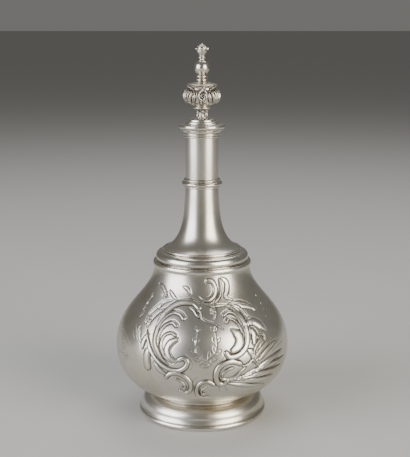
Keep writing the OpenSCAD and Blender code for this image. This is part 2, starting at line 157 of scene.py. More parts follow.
# %% [markdown]
# ## Turned surfaces
# A silversmith raises or spins every round piece about one axis, and trues it on a lathe. Blender can do the same: a
# list of radius and height pairs, swept round the axis, gives the surface. Curves come from four steering points, as
# a drawing programme's pen tool has them, so a few real sizes describe a whole sweep. Edges sharper than 35 degrees
# stay crisp and everything else is shaded smooth.

# %% Turning helpers
def curve(p, a, b, q, steps=20):
    """Points from p to q on a curve that leaves towards a and arrives from b. Radius and height in mm."""
    out = []
    for i in range(steps + 1):
        t = i / steps
        s = 1 - t
        weights = (s ** 3, 3 * s * s * t, 3 * s * t * t, t ** 3)
        out.append(tuple(sum(w * v[k] for w, v in zip(weights, (p, a, b, q))) for k in (0, 1)))
    return out


def bead(radius, low, high, out, steps=16):
    """Points of a half-round bead that stands out from a radius, between two heights."""
    middle = (low + high) / 2
    half = (high - low) / 2
    angles = [math.pi * i / steps - math.pi / 2 for i in range(steps + 1)]
    return [(radius + out * math.cos(a), middle + half * math.sin(a)) for a in angles]


def finish_piece(piece, body, replaced, material):
    """Shades a new piece, gives it its material and ties it to the measured model."""
    mesh = piece.data
    for polygon in mesh.polygons:
        polygon.use_smooth = True
    mesh.set_sharp_from_angle(angle=math.radians(35))
    mesh.materials.clear()
    mesh.materials.append(material)
    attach(piece, body)
    if replaced:
        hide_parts(*replaced)
    print(f"{piece.name}: {len(mesh.polygons)} faces on {body}")
    return piece


def turned(name, outline, around=160):
    """Sweeps a closed outline of (radius, height) in mm round the axis."""
    clean = [outline[0]]
    for point in outline[1:]:
        if math.dist(point, clean[-1]) > 0.004:
            clean.append(point)
    if math.dist(clean[0], clean[-1]) < 0.004:
        clean.pop()
    rings = []
    vertices = []
    for radius, height in clean:
        if radius < 0.005:
            rings.append([len(vertices)] * around)
            vertices.append((0, 0, height * MM))
        else:
            rings.append(list(range(len(vertices), len(vertices) + around)))
            for k in range(around):
                angle = 2 * math.pi * k / around
                vertices.append((radius * math.cos(angle) * MM, radius * math.sin(angle) * MM, height * MM))
    faces = []
    for i, ring in enumerate(rings):
        above = rings[(i + 1) % len(rings)]
        for k in range(around):
            n = (k + 1) % around
            corners = [ring[k], ring[n], above[n], above[k]]
            corners = [c for j, c in enumerate(corners) if c not in corners[:j]]
            if len(corners) > 2:
                faces.append(corners)
    mesh = bpy.data.meshes.new(name)
    mesh.from_pydata(vertices, [], faces)
    shape = bmesh.new()
    shape.from_mesh(mesh)
    bmesh.ops.recalc_face_normals(shape, faces=shape.faces)
    shape.to_mesh(mesh)
    shape.free()
    piece = bpy.data.objects.new(name, mesh)
    bpy.context.collection.objects.link(piece)
    return piece


def heights(node):
    """Lowest and highest height, and the largest radius, of a measured piece, in mm."""
    low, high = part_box(node)
    return low.z / MM, high.z / MM, high.x / MM


print("belly stands from %.1f to %.1f mm, radius %.1f mm" % heights("belly"))

# %% [markdown]
# ## Silver
# The bottle is silver with a little copper in it, raised from sheet and polished by hand. Three things keep it from
# looking like chrome. Its colour is warmer, because a thin film of tarnish yellows it. In the hollows it turns brown:
# that brown is tarnish and painted shade together.
# Its surface carries the soft unevenness of the hammer, which makes reflections swim. And years of polishing have left
# a haze of hair-fine scratches. The scratches are far too fine to draw one by one at this size, so they are drawn as
# coarse as they need to be to show as haze. Silver is a metal, so the metallic value is 1 and the IOR stays alone.

# %% Silver materials
def per_mm(size):
    """The texture scale that gives a pattern features of this size in mm."""
    return 1 / (size * MM)


def silver(name, bright, tarnished, brown, roughness, haze=0.05, hammer=0.03, hammer_size=9.0, tarnish=0.5):
    """Worn silver. The piece's own "hollow" value, where it has one, says how deep a place lies; deep places are
    painted brown, as tarnish and as painted shade.
    """
    material = bpy.data.materials.new(name)
    material.use_nodes = True
    tree = material.node_tree
    shader = tree.nodes["Principled BSDF"]
    shader.inputs["Metallic"].default_value = 1.0
    place = add_node(tree, "ShaderNodeTexCoord").outputs["Object"]
    hollow = add_node(tree, "ShaderNodeAttribute", {"attribute_name": "hollow"}).outputs["Fac"]

    clouds = add_node(tree, "ShaderNodeTexNoise", Vector=place, Scale=per_mm(26), Detail=4.0, Roughness=0.6)
    film = add_node(tree, "ShaderNodeMapRange", Value=clouds.outputs["Fac"], From_Min=0.42, From_Max=0.72,
        To_Max=tarnish)
    spots = add_node(tree, "ShaderNodeTexNoise", Vector=place, Scale=per_mm(5), Detail=5.0, Roughness=0.7)
    speckle = add_node(tree, "ShaderNodeMapRange", Value=spots.outputs["Fac"], From_Min=0.5, From_Max=0.8,
        To_Max=0.5)
    uneven = add_node(tree, "ShaderNodeMath", {"operation": "MULTIPLY_ADD"}, i0=film.outputs[0],
        i1=speckle.outputs[0], i2=film.outputs[0])
    filmed = add_node(tree, "ShaderNodeMix", {"data_type": "RGBA"}, i0=uneven.outputs[0], i6=linear(bright),
        i7=linear(tarnished))
    # Painted shade and tarnish: deep places are mixed towards the brown colour.
    deep = add_node(tree, "ShaderNodeMapRange", Value=hollow, From_Min=0.15, From_Max=0.95, To_Max=0.92)
    coloured = add_node(tree, "ShaderNodeMix", {"data_type": "RGBA"}, i0=deep.outputs[0],
        i6=filmed.outputs[2], i7=linear(brown))
    tree.links.new(coloured.outputs[2], shader.inputs["Base Color"])

    wear = add_node(tree, "ShaderNodeMath", {"operation": "MULTIPLY_ADD"}, i0=spots.outputs["Fac"], i1=haze,
        i2=roughness)
    dull = add_node(tree, "ShaderNodeMath", {"operation": "MULTIPLY_ADD"}, i0=deep.outputs[0], i1=0.22,
        i2=wear.outputs[0])
    tree.links.new(dull.outputs[0], shader.inputs["Roughness"])

    blows = add_node(tree, "ShaderNodeTexNoise", Vector=place, Scale=per_mm(hammer_size), Detail=1.0)
    raised = add_node(tree, "ShaderNodeBump", Height=blows.outputs["Fac"], Distance=hammer * MM, Strength=1.0)
    stretch = add_node(tree, "ShaderNodeMapping", Vector=place, Rotation=(0.3, 0.2, 0.5),
        Scale=(1.0, 1.0, 9.0))
    hairs = add_node(tree, "ShaderNodeTexNoise", Vector=stretch.outputs[0], Scale=per_mm(1.6), Detail=3.0,
        Roughness=0.7)
    scratched = add_node(tree, "ShaderNodeBump", Height=hairs.outputs["Fac"], Distance=0.004 * MM,
        Strength=0.6, Normal=raised.outputs[0])
    tree.links.new(scratched.outputs[0], shader.inputs["Normal"])
    return material


polished_silver = silver("polished sterling silver, lightly tarnished", "#dedad0", "#b9ac8e", "#3a3226", 0.26)
turned_silver = silver("turned sterling silver", "#dedad0", "#bfb398", "#4a4034", 0.22, hammer=0.012)
cast_silver = silver("cast and chased silver", "#d6d0c6", "#b09f86", "#33291f", 0.26, haze=0.08, hammer_size=2.5, tarnish=0.6)
inner_silver = silver("unpolished silver inside", "#b8b2a4", "#8f8468", "#4a4034", 0.42, haze=0.1,
    tarnish=0.8)
print("silvers:", [m.name for m in bpy.data.materials if "silver" in m.name])

# %% [markdown]
# ## Cork and leather
# The stopper's plug is natural cork, cut from bark and sanded to a taper: warm light brown with dark pores and short
# slits, quite matt. The washer in the screw joint is vegetable-tanned leather, darkened by water.

# %% Cork and leather materials
cork = bpy.data.materials.new("natural cork")
cork.use_nodes = True
cork_tree = cork.node_tree
cork_shader = cork_tree.nodes["Principled BSDF"]
cork_place = add_node(cork_tree, "ShaderNodeTexCoord").outputs["Object"]
cork_cells = add_node(cork_tree, "ShaderNodeTexVoronoi", Vector=cork_place, Scale=per_mm(1.3), Randomness=1.0)
cork_pores = add_node(cork_tree, "ShaderNodeTexNoise", Vector=cork_place, Scale=per_mm(2.4), Detail=6.0,
    Roughness=0.75)
cork_slits = add_node(cork_tree, "ShaderNodeMapRange", Value=cork_pores.outputs["Fac"], From_Min=0.55,
    From_Max=0.68)
cork_tone = add_node(cork_tree, "ShaderNodeMix", {"data_type": "RGBA"}, i0=cork_cells.outputs["Distance"],
    i6=linear("#b98d5c"), i7=linear("#9c7244"))
cork_mixed = add_node(cork_tree, "ShaderNodeMix", {"data_type": "RGBA"}, i0=cork_slits.outputs[0],
    i6=cork_tone.outputs[2], i7=linear("#4d3320"))
cork_bump = add_node(cork_tree, "ShaderNodeBump", Height=cork_slits.outputs[0], Distance=-0.15 * MM,
    Strength=1.0)
cork_tree.links.new(cork_mixed.outputs[2], cork_shader.inputs["Base Color"])
cork_tree.links.new(cork_bump.outputs[0], cork_shader.inputs["Normal"])
cork_shader.inputs["Roughness"].default_value = 0.85

leather = bpy.data.materials.new("vegetable-tanned leather")
leather.use_nodes = True
leather_tree = leather.node_tree
leather_shader = leather_tree.nodes["Principled BSDF"]
leather_place = add_node(leather_tree, "ShaderNodeTexCoord").outputs["Object"]
leather_grain = add_node(leather_tree, "ShaderNodeTexVoronoi", Vector=leather_place, Scale=per_mm(0.7))
leather_clouds = add_node(leather_tree, "ShaderNodeTexNoise", Vector=leather_place, Scale=per_mm(6),
    Detail=3.0)
leather_tone = add_node(leather_tree, "ShaderNodeMix", {"data_type": "RGBA"},
    i0=leather_clouds.outputs["Fac"], i6=linear("#3d2817"), i7=linear("#5e4128"))
leather_bump = add_node(leather_tree, "ShaderNodeBump", Height=leather_grain.outputs["Distance"],
    Distance=0.08 * MM, Strength=1.0)
leather_tree.links.new(leather_tone.outputs[2], leather_shader.inputs["Base Color"])
leather_tree.links.new(leather_bump.outputs[0], leather_shader.inputs["Normal"])
leather_shader.inputs["Roughness"].default_value = 0.6
print("cork and leather are ready")

# %% [markdown]
# ## Measured pieces that only need their finish
# The hidden pieces already have their right shape: the threaded ring, the pierced rose, the cork with its washer, nut
# and rod, and the plate under the cap. They keep their shape and get a finish.

# %% Finish of the hidden pieces
for node, finish in (("seal", leather), ("stopper_cork", cork), ("thread_ring", turned_silver),
    ("sprinkler_rose", inner_silver),
                     ("cork_washer", turned_silver), ("cork_nut", turned_silver),
                      ("stopper_rod", turned_silver),
                     ("cap_plate", turned_silver)):
    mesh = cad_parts[node].data
    mesh.materials.clear()
    mesh.materials.append(finish)
    print(node, "is finished as", finish.name)

# %% [markdown]
# ## The foot
# The foot is a sheet ring, spun over a chuck: a soft ovolo under the belly, a hollow, and a flare that ends on a stout
# round wire. A small wire hides the solder joint to the belly. The outline is read from the photograph's outline at
# the left and right of the foot, and from the bright and dark lines down its middle.

# %% Foot, base wire and joint wire
foot_low, foot_high, _ = heights("foot")
wire_low, wire_high, wire_out = heights("base_wire")
joint_low, joint_high, joint_out = heights("joint_wire")

foot_outline = (
    curve((41.6, 4.0), (40.8, 4.6), (40.1, 6.4), (40.0, 7.8), 8)
    + curve((40.0, 7.8), (39.6, 10.4), (37.0, 13.1), (33.4, 13.6), 18)
    + [(32.3, 13.9), (32.3, 16.95), (31.3, 16.95), (31.3, 12.6)]
    + curve((32.9, 12.6), (36.0, 12.2), (38.5, 10.0), (39.0, 7.7), 14)
    + curve((39.0, 7.7), (39.1, 6.2), (39.6, 4.9), (40.2, 4.1), 6)
)
foot = finish_piece(turned("foot_spun", foot_outline, 200), "vessel", ["foot"], polished_silver)

wire_middle = wire_out - 2.1
base_outline = [(wire_middle + 2.1 * math.cos(a), 1.95 + 2.1 * math.sin(a))
                for a in np.radians(np.arange(-68, 249, 8))]
base_wire = finish_piece(turned("base_wire_round", base_outline, 200), "vessel", ["base_wire"],
    turned_silver)

joint_outline = bead(32.35, joint_low, joint_high, joint_out - 32.35)
joint_wire = finish_piece(turned("joint_wire_round", joint_outline, 200), "vessel", ["joint_wire"],
    turned_silver)

# %% [markdown]
# ## The chased belly
# The belly is the show piece. The smith raised it from one sheet, filled it with pitch and pushed the ornament up and
# down with punches: rounded scrolls, curled leaves with veins, smooth shell-like lobes, and lines cut with a tracer.
# In Blender a fine net of points takes the turned shape, and each punch stroke then lifts or sinks the points near it.
# A stroke is a path on the surface, given as the angle round the bottle from the front, in degrees, and the height in
# mm. It has a half-width and a rise in mm. Later strokes lie on top of earlier ones, as on the real piece, and a narrow
# groove runs along each edge, because the chaser sharpens every outline with a tracer.

# %% A net of points on a turned surface
class ChasedNet:
    """A turned surface as a net of points, with the height of the chasing at each one. Lengths are in mm."""

    def __init__(self, outline, around):
        self.profile = np.array(outline, float)
        self.rows = len(outline)
        self.around = around
        self.angle = np.radians(np.arange(around) * 360.0 / around - 180.0)
        radius, height = self.profile[:, :1], self.profile[:, 1:]
        self.points = np.stack([radius * np.sin(self.angle), -radius * np.cos(self.angle),
                                height + 0 * self.angle], axis=2)
        along = np.gradient(self.profile, axis=0)
        along /= np.linalg.norm(along, axis=1)[:, None]
        self.normals = np.stack([along[:, 1:] * np.sin(self.angle), -along[:, 1:] * np.cos(self.angle),
                                 -along[:, :1] + 0 * self.angle], axis=2)
        self.relief = np.zeros((self.rows, around))
        self.ink = np.zeros((self.rows, around))

    def at(self, degrees, height):
        """The point and the outward direction of the bare surface at an angle from the front and a height."""
        radius = np.interp(height, self.profile[:, 1], self.profile[:, 0])
        slope = np.gradient(self.profile[:, 0]) / np.gradient(self.profile[:, 1])
        tilt = np.interp(height, self.profile[:, 1], slope)
        a = np.radians(degrees)
        outward = np.stack([np.sin(a), -np.cos(a), -tilt], axis=-1)
        outward /= np.linalg.norm(outward, axis=-1)[..., None]
        return np.stack([radius * np.sin(a), -radius * np.cos(a), height], axis=-1), outward


def smooth_path(points, steps=8):
    """A flowing path through a few given points, as points in steps between each pair."""
    p = np.array([points[0]] + list(points) + [points[-1]], float)
    out = []
    for i in range(1, len(p) - 2):
        for t in np.arange(steps) / steps:
            out.append(0.5 * (2 * p[i] + (p[i + 1] - p[i - 1]) * t
                              + (2 * p[i - 1] - 5 * p[i] + 4 * p[i + 1] - p[i + 2]) * t ** 2
                              + (3 * p[i] - 3 * p[i + 1] + p[i + 2] - p[i - 1]) * t ** 3))
    out.append(p[-2])
    return np.array(out)


# %% [markdown]
# ## Strokes of the chasing tools
# Each tool leaves its own cross-section. A rib is a flat-topped band with rounded edges. A flute is higher along one
# side and slopes down to the other, as the fingers of a shell do. A leaf swells and ends in a point, and has a vein. A
# lobe is a smooth swelling. A line is only a cut. The cross-section is worked out from how far a point lies from the
# middle of the stroke. Along both edges runs the fine line of the tracer, and dark tarnish settles in it: the net keeps
# that as ink, from 0 to 1, beside the relief.

# %% One stroke
def stroke(net, kind, half_width, rise, points, start=0.4, end=0.4, groove=0.14, ink=0.8, turn=0.0):
    """Presses one stroke into the net. start and end are the share of the width left at the two tips."""
    path = smooth_path([(a + turn, h) for a, h in points])
    spots, outward = net.at(path[:, 0], path[:, 1])
    reach = half_width + 1.5
    low, high = path[:, 1].min() - reach, path[:, 1].max() + reach
    rows = np.where((net.profile[:, 1] >= low) & (net.profile[:, 1] <= high))[0]
    if len(rows) == 0:
        return
    radius = max(1.0, net.profile[rows, 0].min())
    spread = math.degrees(min(reach / radius, math.pi))
    middle = (path[:, 0].min() + path[:, 0].max()) / 2
    half = (path[:, 0].max() - path[:, 0].min()) / 2 + spread
    away = (np.degrees(net.angle) - middle + 180) % 360 - 180
    columns = np.where(np.abs(away) <= half)[0]
    block = np.ix_(rows, columns)
    here = net.points[block].reshape(-1, 3)

    best = np.full(len(here), 1e9)
    share = np.zeros(len(here))
    side = np.zeros(len(here))
    lengths = np.linalg.norm(np.diff(spots, axis=0), axis=1)
    total = lengths.sum()
    done = 0.0
    for i, length in enumerate(lengths):
        if length < 1e-6:
            continue
        along = (spots[i + 1] - spots[i]) / length
        offset = here - spots[i]
        t = np.clip(offset @ along, 0, length)
        gap = offset - t[:, None] * along
        distance = np.linalg.norm(gap, axis=1)
        nearer = distance < best
        best[nearer] = distance[nearer]
        share[nearer] = (done + t[nearer]) / total
        side[nearer] = np.sign(gap @ np.cross(outward[i], along))[nearer]
        done += length

    field = net.relief[block].reshape(-1)
    dark = net.ink[block].reshape(-1)
    if kind == "line":
        fade = np.clip(np.minimum(share / 0.12, (1 - share) / 0.12), 0.25, 1)
        cut = fade * np.exp(-(best / half_width) ** 2)
        field = field - rise * cut
        dark = np.maximum(dark, ink * cut)
    else:
        if kind == "leaf":
            width = half_width * np.clip(np.sin(math.pi * np.clip(share, 0, 1) ** 0.75), 0.02, 1) ** 0.6
            width = np.maximum(width, half_width * np.interp(share, [0, 0.5, 1], [start, 0, end]))
        else:
            width = half_width * np.interp(share, [0, 0.2, 0.75, 1], [start, 1, 1, end])
        u = best / np.maximum(width, 1e-3)
        inside = np.clip(1.15 - u, 0, 0.15) / 0.15
        if kind == "rib":
            crown = np.clip(1 - u ** 3, 0, 1) ** 0.7
        elif kind == "flute":
            crown = np.clip(1 - u ** 4, 0, 1) * (0.6 + 0.4 * side * u)
        else:
            crown = np.clip(1 - u * u, 0, 1) ** 0.8
        body = rise * crown * np.clip(width / half_width, 0, 1) ** 0.5
        if kind == "leaf":
            body = body - 0.3 * rise * np.exp(-(best / 0.3) ** 2) * np.clip(1 - u, 0, 1)
        edge = np.exp(-((best - width) / 0.36) ** 2)
        field = field * (1 - 0.7 * np.clip(crown, 0, 1)) + body - groove * edge
        dark = np.maximum(dark * (1 - 0.9 * np.clip(1 - u, 0, 1) ** 0.3), ink * edge)
    net.relief[block] = field.reshape(len(rows), len(columns))
    net.ink[block] = dark.reshape(len(rows), len(columns))


# %% [markdown]
# ## The belly's outline
# The outline is one long S: a flat underside on the foot, a full low belly, and a drawn-in shoulder. Two curves give
# it. The rows of the net lie closer than half a millimetre, so that a half-millimetre groove still shows.

# %% Bare belly
belly_low, belly_high, _ = heights("belly")
belly_rise = (
    curve((33.0, 17.0), (41.3, 17.0), (56.4, 26.4), (56.4, 46.5), 130)
    + curve((56.4, 46.5), (56.4, 72.5), (32.8, 79.9), (30.7, 99.0), 210)[1:]
)
belly_net = ChasedNet(belly_rise, 1200)
print(f"belly net: {belly_net.rows} rows of {belly_net.around} points, rising {belly_high - belly_low:.1f} mm")

# %% [markdown]
# ## The cartouche
# A cartouche is an ornamental frame. This one is in the rococo manner: no two sides match, and everything curls. Two
# large C-scrolls face each other, each filled with flutes that fan out and end in round tips. An arching band joins
# them above, three volutes close the frame below, and flowers, ribbons and palm leaves escape to the sides. The order
# of the list is the order of work: what lies at the back comes first. Each stroke has its kind, its half width and its
# rise in mm, its path, and the shares of width left at its two ends.

# %% Strokes behind the frame: flowers, ribbons, lobes and palm leaves
BACK_STROKES = [
    # leaves and buds at the upper left
    ("leaf", 1.2, 0.45, [(-54, 91), (-46, 89.5), (-36, 85)]),
    ("leaf", 1.5, 0.55, [(-47, 74.5), (-42, 79.5), (-37, 82.5), (-30, 84)]),
    ("leaf", 1.6, 0.55, [(-43, 68), (-42, 73), (-38, 77), (-32, 79.5)]),
    ("leaf", 1.1, 0.4, [(-36, 89), (-30, 86.5), (-24, 84.5)]),
    ("leaf", 1.1, 0.4, [(-20, 92), (-15, 91), (-12, 88.5)]),
    ("lobe", 1.1, 0.6, [(-40.5, 79), (-39, 80.5)], 0.9, 0.9),
    ("leaf", 1.4, 0.5, [(-49, 66.5), (-47.5, 62), (-44, 58.5)]),
    # smooth lobes outside the left scroll
    ("lobe", 1.9, 0.8, [(-40, 64), (-42, 60), (-42, 56)], 0.6, 0.6),
    ("lobe", 2.9, 1.1, [(-36.5, 56.5), (-37.5, 51), (-36.5, 45.5)], 0.5, 0.95),
    ("leaf", 1.6, 0.6, [(-31, 48.5), (-27, 44.5), (-22, 42)], 0.6, 0.6),
    # ribbon, wing and lobes outside the right scroll
    ("leaf", 2.6, 0.5, [(27, 82.5), (35, 81.5), (43, 80), (50, 77)], 0.3, 0.6),
    ("leaf", 1.9, 0.45, [(28, 81), (34, 79), (39, 74.5)], 0.4, 0.4),
    ("lobe", 2.7, 0.8, [(35, 71), (41, 71.5), (46, 69), (50, 65)], 0.6, 0.3),
    ("lobe", 2.6, 0.8, [(36, 68), (38.5, 64.5), (36.5, 60)], 0.6, 0.6),
    ("lobe", 2.3, 0.7, [(31, 56.5), (34.5, 53.5), (34.5, 49)], 0.5, 0.6),
    ("rib", 0.7, 0.6, [(38.5, 61.5), (42, 63.5), (46, 62.5), (45.5, 60)], 0.5, 0.9),
    ("flute", 1.5, 0.6, [(35, 50), (42, 55), (52, 59.5)], 0.5, 0.1),
    ("flute", 1.5, 0.6, [(39, 49), (48, 54), (58, 57)], 0.5, 0.1),
    ("flute", 1.3, 0.5, [(35, 54), (39, 58.5), (46, 62)], 0.5, 0.1),
    ("rib", 0.8, 0.7, [(24, 51), (26.5, 47.5), (30, 48), (33.5, 50), (36.5, 47)], 0.6, 0.8),
    # palm leaves at the lower right
    ("leaf", 1.4, 0.6, [(17, 37), (26, 34.5), (38, 31.5), (48, 30.5)], 0.4, 0.1),
    ("leaf", 2.0, 0.9, [(19, 38.5), (30, 37), (42, 35), (55, 35)], 0.4, 0.1),
    ("leaf", 2.1, 1.0, [(21, 39.5), (33, 40), (47, 39), (64, 39.5)], 0.4, 0.1),
    ("leaf", 1.8, 0.9, [(26, 40.5), (37, 43), (49, 43.5), (68, 44)], 0.4, 0.1),
    ("leaf", 2.1, 1.1, [(34, 42), (42, 45), (52, 47.5), (64, 49.5)], 0.4, 0.15),
]

# %% Strokes of the frame: scrolls, flutes and volutes
FRAME_STROKES = [
    # flutes inside the left scroll, from the innermost out
    ("lobe", 2.3, 0.7, [(-17, 64), (-21, 61.5), (-22.5, 57.5), (-20.5, 53.5), (-16.5, 51.5)], 0.7, 0.5),
    ("flute", 1.1, 0.8, [(-18.5, 66.5), (-22, 67.5), (-26.5, 65.5), (-28, 61), (-26.5, 57), (-23.5, 53),
     (-19, 50.5)], 1.0, 0.4),
    ("flute", 1.3, 0.8, [(-19, 71.5), (-23, 73), (-28, 71), (-30.5, 67.5), (-31, 63), (-29.5, 58)], 1.0, 0.3),
    ("flute", 1.5, 0.9, [(-14.5, 75.5), (-18, 77.5), (-24, 78), (-30, 75.5), (-33.5, 71), (-34, 66),
     (-33, 61), (-30, 56.5),
                         (-26, 52), (-21.5, 49)], 1.0, 0.4),
    ("rib", 1.4, 0.9, [(-42, 66.5), (-38.5, 61.5), (-35.5, 57), (-31, 52), (-26, 48.3), (-20, 46),
     (-14.5, 45.8), (-10.5, 48),
                       (-9, 51.5), (-11.5, 53.8), (-14.5, 52.5)], 0.3, 0.95),
    # the arching band above, with its curled end
    ("rib", 2.1, 0.9, [(-2.5, 81), (-7, 83.5), (-13, 84), (-20, 83.3), (-26, 81.5), (-30.5, 78.5),
     (-33.5, 74.5), (-35, 70)], 0.8, 0.2),
    ("rib", 0.8, 0.8, [(-11, 81), (-7, 79.5), (-4, 77), (-1.5, 76.5), (-1, 78.5), (-3, 79.5)], 0.5, 0.9),
    ("leaf", 1.1, 0.4, [(-2, 77), (3, 74.5), (9, 73), (15, 70)]),
    # flutes inside the right scroll, then its broad band
    ("lobe", 3.2, 0.7, [(22, 69), (25.5, 66), (26, 62.5), (24, 59.5), (20, 57.5)], 0.4, 0.6),
    ("flute", 1.1, 0.7, [(29.5, 66), (28.5, 71), (25.5, 74), (21.5, 75), (19, 73.5)], 0.3, 1.0),
    ("flute", 1.3, 0.8, [(31, 68), (30.5, 73.5), (28, 77), (23, 78.5), (18, 77)], 0.3, 1.0),
    ("rib", 1.9, 1.0, [(24, 80.5), (28.5, 78.8), (31.7, 75), (33.3, 70), (32.8, 65), (30.5, 60), (26.5, 56),
     (22, 54), (17.5, 54),
                       (15.5, 56.5)], 0.3, 0.85),
    ("rib", 0.7, 0.5, [(33, 79), (36, 75), (36, 70), (35, 65), (33, 61)], 0.4, 0.4),
    # the scroll and leaf at the top, and small leaves that tie it to the frame
    ("leaf", 1.0, 0.4, [(2, 83.5), (9, 82), (16, 82), (23, 82)]),
    ("leaf", 0.9, 0.4, [(10, 83), (11.5, 79), (10, 75)]),
    ("leaf", 1.9, 0.4, [(23, 97), (29, 94), (27, 89.5), (24, 86.5), (30, 84.5)], 0.3, 0.4),
    ("flute", 1.1, 0.6, [(20, 96), (20.5, 91.5), (17.5, 87), (12, 83.5)], 0.9, 0.4),
    ("rib", 1.5, 0.8, [(6.5, 96), (11.5, 95), (14.3, 91.3), (12, 87.5), (7, 85.3), (1.5, 85.5), (-2.5, 87)],
     1.0, 0.3),
    # the volutes below
    ("rib", 1.3, 0.9, [(-23, 40.5), (-20.5, 43), (-15.5, 44), (-11, 42.3), (-8, 39.3), (-7, 35.5),
     (-8.5, 31.8), (-11.5, 30.5),
                       (-14.5, 32)], 1.0, 0.8),
    ("rib", 0.7, 0.7, [(-16.5, 40.3), (-13, 38.5), (-11, 36), (-11.3, 33.8), (-13.5, 34.3)], 0.9, 1.0),
    ("rib", 1.2, 0.9, [(7.5, 37), (4, 39), (0.5, 38.8), (-2.3, 36.5), (-3.5, 33), (-2.5, 28.5), (1, 26.5),
     (4, 28)], 1.0, 0.7),
    ("rib", 0.7, 0.7, [(2.5, 35), (-0.3, 33), (0, 30), (2, 30.5)], 0.9, 1.0),
    ("leaf", 1.5, 0.8, [(11.5, 41), (16, 39.3), (21, 40.5), (25, 44), (29, 46.5)], 0.3, 0.3),
    ("rib", 1.7, 1.0, [(24.5, 49), (20, 50.8), (14.5, 50.5), (10.7, 48), (9, 44.3), (9, 40.5), (10.8, 37.3),
     (14, 36.8), (16, 39)],
     0.9, 0.7),
    ("rib", 0.9, 0.7, [(19, 47), (15.5, 46), (13, 43.5), (12.5, 41.5)], 1.0, 0.5),
]

# %% [markdown]
# ## Engraving
# Engraving cuts silver away instead of pushing it. A thin line follows the inside of the frame, and finer sprigs run
# out over the plain silver at the sides. Two leafy branches cross in the middle of the cartouche. The graver's cut is a
# tenth of a millimetre wide on the real piece; here it is about half a millimetre, so that it shows.

# %% Engraved lines
ENGRAVED = [
    [(15.5, 57.5), (13.5, 54), (9.5, 50.5), (7, 46), (6.8, 40.5)],
    [(-6, 38), (-5, 40.5), (-2, 42)],
    [(-12, 56.5), (-6.5, 53), (-6, 48.5), (-8, 46)],
    [(72, 77), (60, 72.5), (52, 68)],
    [(42, 59), (39, 55), (40, 49)],
    [(48, 28), (50, 31.5), (53, 33.5)],
    [(11, 36), (11.5, 32.5), (13, 30.5)],
    [(14, 36), (16, 33), (16, 30.5)],
    [(-62, 66), (-55, 63), (-50, 59)],
    [(-60, 70), (-54, 67), (-50, 62)],
    [(-72, 60), (-62, 58), (-55, 54)],
    [(-72, 47), (-62, 46.5), (-52, 48)],
    [(45, 52), (54, 55), (63, 57)],
    [(50, 51), (60, 53.5), (69, 54.5)],
    [(40, 60.5), (47, 64), (54, 66)],
]


def sprig(foot, bend, tip, leaves, spread, size):
    """A small engraved branch from foot to tip, bent through a middle point, with pairs of almond-shaped leaves."""
    lines = [[foot, bend, tip]]
    spine = smooth_path([foot, bend, tip], 12)
    for i in range(leaves):
        k = int((i + 0.6) / leaves * (len(spine) - 2))
        root, ahead = spine[k], spine[k + 1] - spine[k]
        ahead = ahead / np.hypot(*ahead)
        reach = size * (1 - 0.4 * i / leaves)
        for side in (-1, 1):
            out = np.array([ahead[0] - side * spread * ahead[1], ahead[1] + side * spread * ahead[0]]) * reach
            belly_of_leaf = 0.22 * side * np.array([-out[1], out[0]])
            lines.append([tuple(root), tuple(root + 0.55 * out + belly_of_leaf), tuple(root + out)])
            lines.append([tuple(root), tuple(root + 0.45 * out - belly_of_leaf), tuple(root + out)])
    return lines


ENGRAVED += sprig((7, 49), (-4, 58), (-3, 71), 5, 0.8, 4.2)
ENGRAVED += sprig((-3, 49), (9, 58), (9, 71), 5, 0.8, 4.2)
ENGRAVED += sprig((-56, 44), (-62, 50), (-66, 58), 4, 0.8, 3.6)
ENGRAVED += sprig((-54, 70), (-57, 77), (-56, 84), 4, 0.8, 3.4)
ENGRAVED += sprig((56, 70), (62, 76), (64, 84), 4, 0.8, 3.4)
print(len(BACK_STROKES), "strokes behind,", len(FRAME_STROKES), "in the frame,", len(ENGRAVED),
    "engraved lines")

# %% Chase both sides of the belly
BLOSSOMS = [(-44.5, 71.5, 1.5), (-40, 86, 1.1), (9.5, 79, 1.0)]
for turn in (0, 180):
    for kind, half_width, rise, points, *ends in BACK_STROKES:
        stroke(belly_net, kind, half_width, rise, points, *ends, turn=turn)
    for a, h, size in BLOSSOMS:
        for k in range(5):
            out = 2 * math.pi * k / 5
            root = (a + 0.5 * size * math.cos(out), h + 0.5 * size * math.sin(out))
            petal = (a + 1.5 * size * math.cos(out), h + 1.4 * size * math.sin(out))
            stroke(belly_net, "lobe", 0.8 * size, 0.45, [root, petal], 0.5, 0.9, groove=0.1, ink=0.6,
            turn=turn)
        stroke(belly_net, "rib", 0.6 * size, 0.5, [(a - 0.2, h), (a + 0.2, h)], 1, 1, groove=0.1, turn=turn)
    for kind, half_width, rise, points, *ends in FRAME_STROKES:
        stroke(belly_net, kind, half_width, rise, points, *ends, turn=turn)
    for points in ENGRAVED:
        stroke(belly_net, "line", 0.3, 0.12, points, ink=0.55, turn=turn)
print(f"chasing stands {belly_net.relief.max():.2f} mm proud and sinks {-belly_net.relief.min():.2f} mm")

# %% [markdown]
# ## From net to silver skin
# The net becomes a mesh with an inside, a flat bottom and a lip. Each point also keeps a value called "hollow": its
# ink, and how far it lies below what surrounds it. Tarnish stays in such places, because no polishing cloth reaches
# them, and shade falls in them. The silver material reads that value and darkens them: tarnish and painted shade
# together.

# %% Net to mesh
def hollows(relief):
    """How deep each point lies below its surroundings, from 0 to 1. The silver darkens by it, as tarnish and painted
    shade.
    """
    around = relief.copy()
    for reach in (1, 2, 3, 4, 3):
        rows = np.vstack([around[:1]] * reach + [around] + [around[-1:]] * reach)
        up, down = rows[2 * reach:], rows[:-2 * reach]
        around = (around + up + down + np.roll(around, reach, 1) + np.roll(around, -reach, 1)) / 5
    return np.clip((around - relief - 0.05) / 0.5, 0, 1)


